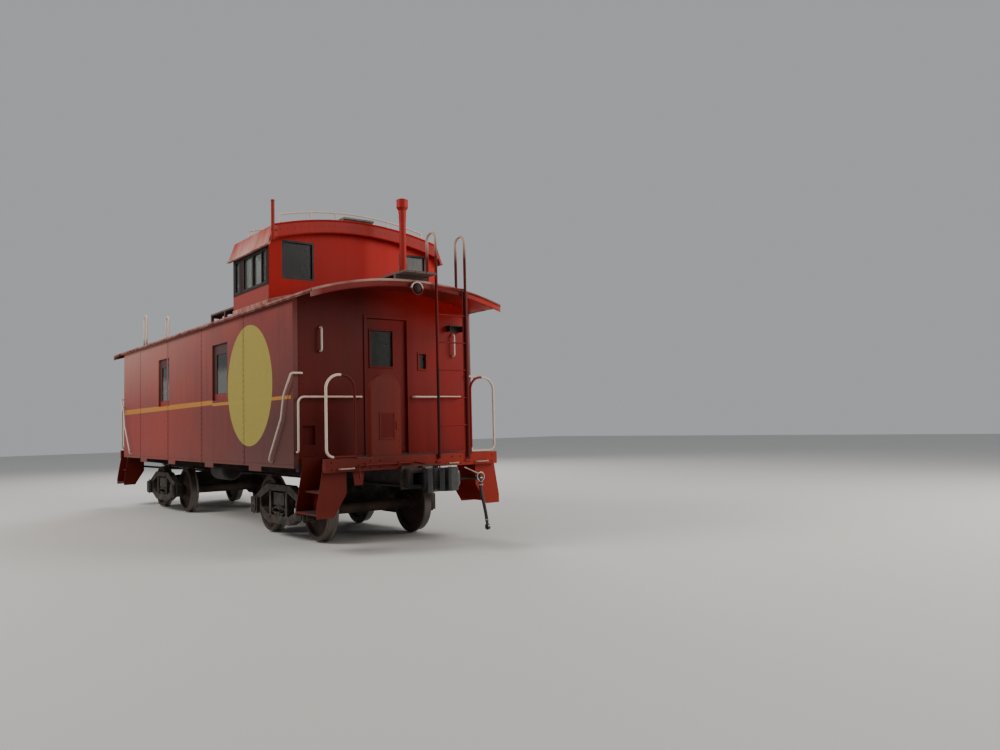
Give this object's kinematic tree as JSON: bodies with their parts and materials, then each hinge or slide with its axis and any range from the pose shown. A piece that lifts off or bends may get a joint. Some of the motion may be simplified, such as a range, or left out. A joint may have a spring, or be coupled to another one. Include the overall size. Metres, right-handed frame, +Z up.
{
  "type": "caboose",
  "caption": "Steel railway caboose with an offset cupola, end platforms with steps and railings, and two leaf-sprung swivelling trucks.",
  "frame": {"origin": "centre of the bounding box at the lowest points of the wheel flanges", "axes": "+X along the car towards the end that the cupola stands nearer to, +Z up"},
  "size_m": [11.8, 2.9674, 4.9648],
  "materials": {
    "body_red": "weathered semi-gloss paint",
    "roof_red": "weathered matt paint",
    "frame_dark": "weathered dark paint",
    "underframe_black": "dusty black paint",
    "truck_iron": "dusty black casting",
    "wheel_steel": "rusted steel with worn treads",
    "coupler_iron": "black casting",
    "rail_cream": "cream paint",
    "floor_wood": "worn boards",
    "board_wood": "weathered grey boards",
    "window_glass": "clear glass",
    "lamp_metal": "pale weathered paint round a dull lens",
    "hose_rubber": "dusty black rubber",
    "inside_paint": "dull paint",
    "seat_cover": "dark worn cover"
  },
  "bodies": {
    "car_body": {"underframe": "underframe_black", "floor": "floor_wood", "side_wall_right": "body_red", "side_wall_left": "body_red", "side_window_sashes": "body_red", "side_window_glass": "window_glass", "roof": "roof_red", "cupola_walls": "body_red", "cupola_window_frames": "frame_dark", "cupola_glass": "window_glass", "cupola_roof": "roof_red", "running_boards": "board_wood", "cupola_walk": "board_wood", "smokestack": "body_red", "vent_pole": "body_red", "brake_gear": "underframe_black", "lookout_glass": "window_glass", "marker_brackets": "frame_dark", "end_lamps": "lamp_metal", "grab_irons": "rail_cream", "uncoupling_levers": "rail_cream", "train_pipe": "underframe_black", "air_hose": "hose_rubber", "glad_hand": "coupler_iron", "cupola_lockers": "inside_paint", "cupola_seats": "seat_cover", "bunk_lockers": "inside_paint", "stove": "underframe_black", "end_wall_near": "body_red", "platform_near": "body_red", "steps_near": "body_red", "end_railing_near": "rail_cream", "brake_stand_near": "body_red", "ladder_near": "body_red", "end_wall_far": "body_red", "platform_far": "body_red", "steps_far": "body_red", "end_railing_far": "rail_cream", "brake_stand_far": "body_red", "ladder_far": "body_red"},
    "truck_near": {"truck_frames_near": "truck_iron", "truck_bolster_near": "truck_iron", "truck_springs_near": "truck_iron", "truck_brakes_near": "truck_iron"},
    "wheelset_near_outer": {"wheelset_near_outer": "wheel_steel"},
    "wheelset_near_inner": {"wheelset_near_inner": "wheel_steel"},
    "door_near": {"door_near": "body_red", "door_glass_near": "window_glass"},
    "coupler_near": {"coupler_near": "coupler_iron"},
    "truck_far": {"truck_frames_far": "truck_iron", "truck_bolster_far": "truck_iron", "truck_springs_far": "truck_iron", "truck_brakes_far": "truck_iron"},
    "wheelset_far_outer": {"wheelset_far_outer": "wheel_steel"},
    "wheelset_far_inner": {"wheelset_far_inner": "wheel_steel"},
    "door_far": {"door_far": "body_red", "door_glass_far": "window_glass"},
    "coupler_far": {"coupler_far": "coupler_iron"}
  },
  "joints": [
    {"name": "truck_near_swivel", "type": "hinge", "parent": "car_body", "child": "truck_near", "pos_m": [3, 0, 0.79], "axis": [0, 0, 1], "range_deg": [-8, 8]},
    {"name": "wheelset_near_outer_roll", "type": "hinge", "parent": "truck_near", "child": "wheelset_near_outer", "pos_m": [3.84, 0, 0.444], "axis": [0, 1, 0], "continuous": true},
    {"name": "wheelset_near_inner_roll", "type": "hinge", "parent": "truck_near", "child": "wheelset_near_inner", "pos_m": [2.16, 0, 0.444], "axis": [0, 1, 0], "continuous": true},
    {"name": "door_near_hinge", "type": "hinge", "parent": "car_body", "child": "door_near", "pos_m": [4.401, 0.301, 2], "axis": [0, 0, -1], "range_deg": [0, 90]},
    {"name": "coupler_near_swing", "type": "hinge", "parent": "car_body", "child": "coupler_near", "pos_m": [4.61, 0, 0.901], "axis": [0, 0, 1], "range_deg": [-7, 7]},
    {"name": "truck_far_swivel", "type": "hinge", "parent": "car_body", "child": "truck_far", "pos_m": [-3, 0, 0.79], "axis": [0, 0, 1], "range_deg": [-8, 8]},
    {"name": "wheelset_far_outer_roll", "type": "hinge", "parent": "truck_far", "child": "wheelset_far_outer", "pos_m": [-3.84, 0, 0.444], "axis": [0, 1, 0], "continuous": true},
    {"name": "wheelset_far_inner_roll", "type": "hinge", "parent": "truck_far", "child": "wheelset_far_inner", "pos_m": [-2.16, 0, 0.444], "axis": [0, 1, 0], "continuous": true},
    {"name": "door_far_hinge", "type": "hinge", "parent": "car_body", "child": "door_far", "pos_m": [-4.401, -0.301, 2], "axis": [0, 0, -1], "range_deg": [0, 90]},
    {"name": "coupler_far_swing", "type": "hinge", "parent": "car_body", "child": "coupler_far", "pos_m": [-4.61, 0, 0.901], "axis": [0, 0, 1], "range_deg": [-7, 7]}
  ]
}
